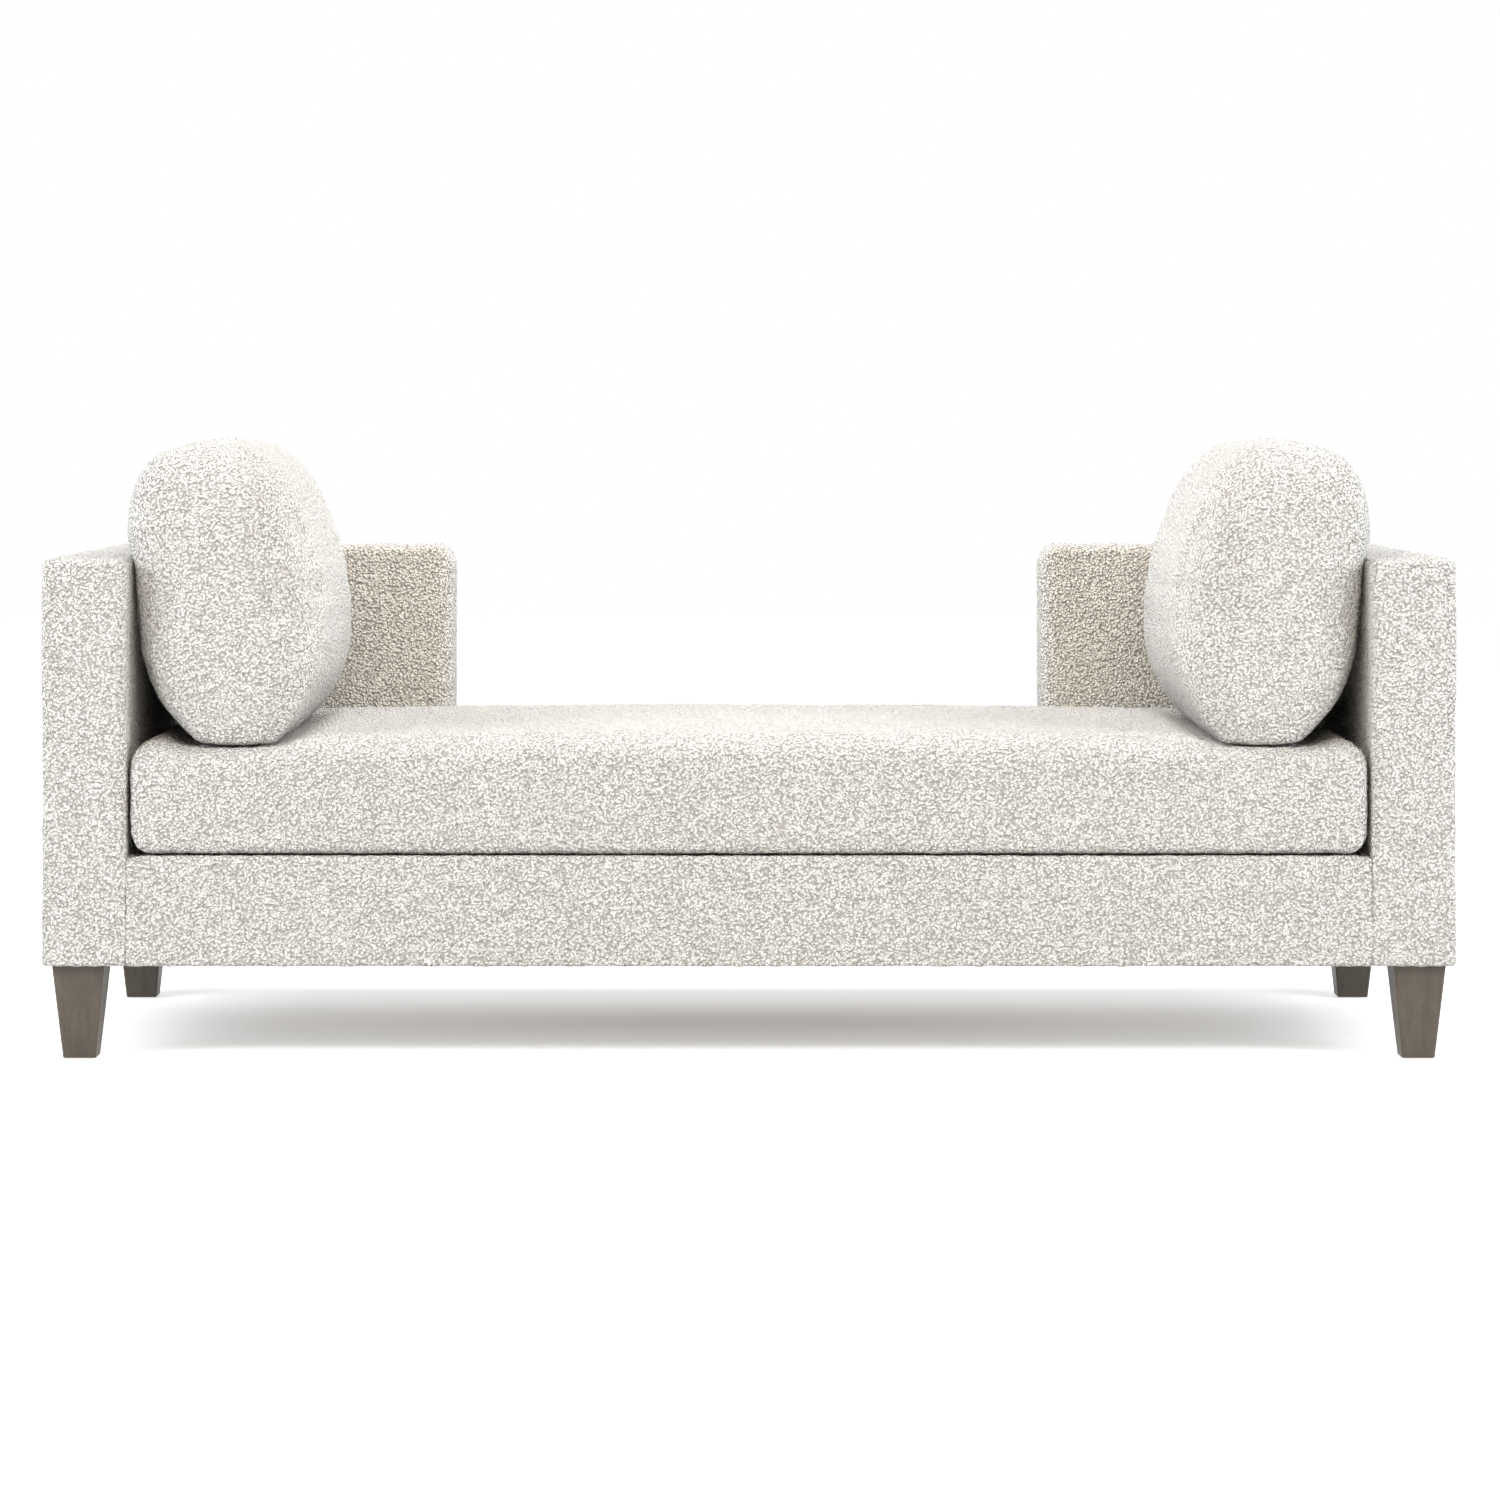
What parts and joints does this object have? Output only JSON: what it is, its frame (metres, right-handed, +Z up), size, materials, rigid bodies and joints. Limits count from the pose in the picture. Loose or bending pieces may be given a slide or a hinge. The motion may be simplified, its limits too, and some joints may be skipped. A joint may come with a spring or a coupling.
{
  "type": "chaise longue",
  "caption": "Double-ended chaise longue with a square arm and a short back return at each end, a loose boxed seat cushion, loose box pillows and tapered square wood legs.",
  "frame": {"origin": "on the floor, under the centre of the body", "axes": "+X along the length towards the viewer's right, +Y towards the back, +Z up"},
  "size_m": [2.134, 0.838, 0.9379],
  "materials": {
    "boucle": "cream looped boucle, matt",
    "padding": "white polyester wadding",
    "foam": "pale polyurethane foam",
    "fibre_fill": "white fibre fill",
    "timber": "planed hardwood, bare",
    "hardboard": "brown hardboard",
    "leg_wood": "grey-brown stained hardwood, satin",
    "steel": "zinc-plated steel",
    "felt": "grey felt",
    "deck_cloth": "plain cream deck cloth",
    "dust_cloth": "black non-woven dust cloth",
    "zip_tape": "cream zip tape",
    "zip_metal": "nickel-plated",
    "glide_plastic": "dark nylon"
  },
  "bodies": {
    "frame": {"back_rail": "timber", "back_rail_cover": "boucle", "back_rail_padding": "padding", "cross_rails": "timber", "deck_cloth": "deck_cloth", "deck_foam": "foam", "dust_cover": "dust_cloth", "front_left_leg": "leg_wood", "front_rail": "timber", "front_rail_cover": "boucle", "front_rail_padding": "padding", "front_right_leg": "leg_wood", "glue_blocks": "timber", "ledge_board": "timber", "left_arm_boards": "hardboard", "left_arm_cover": "boucle", "left_arm_padding": "padding", "left_arm_sill": "timber", "left_arm_top_rail": "timber", "left_corner_post": "timber", "left_front_post": "timber", "left_return_boards": "hardboard", "left_return_cover": "boucle", "left_return_end_post": "timber", "left_return_padding": "padding", "left_return_sill": "timber", "left_return_top_rail": "timber", "leg_bolts": "steel", "leg_glides": "glide_plastic", "leg_plates": "steel", "plate_screws": "steel", "rear_left_leg": "leg_wood", "rear_right_leg": "leg_wood", "right_arm_boards": "hardboard", "right_arm_cover": "boucle", "right_arm_padding": "padding", "right_arm_sill": "timber", "right_arm_top_rail": "timber", "right_corner_post": "timber", "right_front_post": "timber", "right_return_boards": "hardboard", "right_return_cover": "boucle", "right_return_end_post": "timber", "right_return_padding": "padding", "right_return_sill": "timber", "right_return_top_rail": "timber", "seat_rail": "timber", "seat_springs": "steel", "spring_clips": "steel", "spring_insulator": "felt", "tie_wires": "steel"},
    "seat_cushion": {"seat_cushion_cover": "boucle", "seat_cushion_core": "foam", "seat_cushion_zip": "zip_tape"},
    "seat_zip_slider": {"seat_zip_slider": "zip_metal"},
    "left_pillow": {"left_pillow_cover": "boucle", "left_pillow_core": "fibre_fill"},
    "right_pillow": {"right_pillow_cover": "boucle", "right_pillow_core": "fibre_fill"}
  },
  "joints": [
    {"name": "seat_cushion_lift", "type": "slide", "parent": "frame", "child": "seat_cushion", "axis": [0, 0, 1], "range_m": [0, 0.5]},
    {"name": "left_pillow_lift", "type": "slide", "parent": "seat_cushion", "child": "left_pillow", "axis": [0, 0, 1], "range_m": [0, 0.35]},
    {"name": "right_pillow_lift", "type": "slide", "parent": "seat_cushion", "child": "right_pillow", "axis": [0, 0, 1], "range_m": [0, 0.35]},
    {"name": "seat_zip", "type": "slide", "parent": "seat_cushion", "child": "seat_zip_slider", "axis": [1, 0, 0], "range_m": [0, 0.844]}
  ]
}
